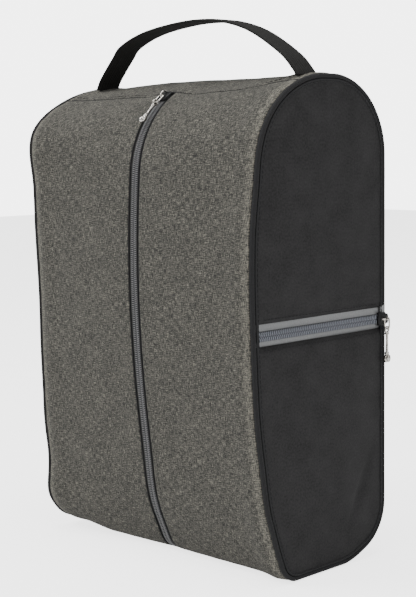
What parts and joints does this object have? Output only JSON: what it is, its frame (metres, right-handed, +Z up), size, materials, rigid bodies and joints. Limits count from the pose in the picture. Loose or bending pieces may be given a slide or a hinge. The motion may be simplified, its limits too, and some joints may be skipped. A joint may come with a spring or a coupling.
{
  "type": "shoe bag",
  "caption": "Upright soft shoe bag with an arched top, a zip down the middle of the front, a zipped side pocket, corded edges and a webbing carry handle.",
  "frame": {"origin": "middle of the flat base, on the surface that the bag stands on", "axes": "+Z up, -Y out of the zipped front, +X towards the side with the pocket"},
  "size_m": [0.2367, 0.137, 0.3812],
  "materials": {
    "heather": "heathered woven polyester",
    "oxford": "coated oxford weave",
    "piping": "woven binding over cord",
    "front_tape": "ribbed zip tape",
    "side_tape": "ribbed zip tape",
    "coil": "nylon coil",
    "webbing": "woven polyester webbing",
    "lining": "plain lining",
    "black_metal": "black enamel",
    "nickel": "bright nickel plate"
  },
  "bodies": {
    "shell": {"top_panel": "heather", "back_panel": "heather", "base_panel": "oxford", "front_left_upper": "heather", "front_left_lower": "heather", "front_right_upper": "heather", "front_right_lower": "heather", "front_tape_left_upper": "front_tape", "front_tape_left_lower": "front_tape", "front_tape_right_upper": "front_tape", "front_tape_right_lower": "front_tape", "front_coil_left_upper": "coil", "front_coil_left_lower": "coil", "front_coil_right_upper": "coil", "front_coil_right_lower": "coil", "front_top_stop_left": "black_metal", "front_top_stop_right": "black_metal", "front_bottom_stop": "black_metal", "side_panel_left": "oxford", "side_panel_right_upper": "oxford", "side_panel_right_lower": "oxford", "piping_left": "piping", "piping_right": "piping", "seam_binding_left": "piping", "seam_binding_right": "piping", "side_tape_upper": "side_tape", "side_tape_lower": "side_tape", "side_coil_upper": "coil", "side_coil_lower": "coil", "side_top_stop_upper": "black_metal", "side_top_stop_lower": "black_metal", "side_end_stop": "black_metal", "pocket_lining": "lining"},
    "door_left": {"front_left_door": "heather", "front_tape_left_door": "front_tape", "front_coil_left_door": "coil"},
    "door_right": {"front_right_door": "heather", "front_tape_right_door": "front_tape", "front_coil_right_door": "coil"},
    "front_slider": {"front_slider_body": "black_metal"},
    "front_slider_link": {"front_link": "nickel"},
    "front_slider_pull": {"front_pull": "nickel"},
    "side_slider": {"side_slider_body": "black_metal"},
    "side_slider_link": {"side_link": "nickel"},
    "side_slider_pull": {"side_pull": "nickel"},
    "handle": {"handle_webbing": "webbing"}
  },
  "joints": [
    {"name": "door_left_open", "type": "hinge", "parent": "shell", "child": "door_left", "pos_m": [-0.1106, -0.0676, 0.163], "axis": [0, 0, -1], "range_deg": [0, 75]},
    {"name": "door_right_open", "type": "hinge", "parent": "shell", "child": "door_right", "pos_m": [0.1106, -0.0676, 0.163], "axis": [0, 0, 1], "range_deg": [0, 75]},
    {"name": "front_slider_run", "type": "hinge", "parent": "shell", "child": "front_slider", "pos_m": [0, 0.00513, 0.269], "axis": [1, 0, 0], "range_deg": [0, 36]},
    {"name": "front_link_swing", "type": "hinge", "parent": "front_slider", "child": "front_slider_link", "pos_m": [0, -0.03703, 0.32823], "axis": [-1, 0, 0], "range_deg": [0, 110]},
    {"name": "front_pull_swing", "type": "hinge", "parent": "front_slider_link", "child": "front_slider_pull", "pos_m": [0, -0.04364, 0.32305], "axis": [-1, 0, 0], "range_deg": [0, 100]},
    {"name": "side_slider_run", "type": "slide", "parent": "shell", "child": "side_slider", "axis": [0, -1, 0], "range_m": [0, 0.11]},
    {"name": "side_link_swing", "type": "hinge", "parent": "side_slider", "child": "side_slider_link", "pos_m": [0.11925, 0.064, 0.1695], "axis": [0, -1, 0], "range_deg": [0, 110]},
    {"name": "side_pull_swing", "type": "hinge", "parent": "side_slider_link", "child": "side_slider_pull", "pos_m": [0.11925, 0.064, 0.1626], "axis": [1, 0, 0], "range_deg": [-70, 70]},
    {"name": "handle_fold", "type": "hinge", "parent": "shell", "child": "handle", "pos_m": [0, -0.006, 0.3403], "axis": [1, 0, 0], "range_deg": [-70, 70]}
  ]
}
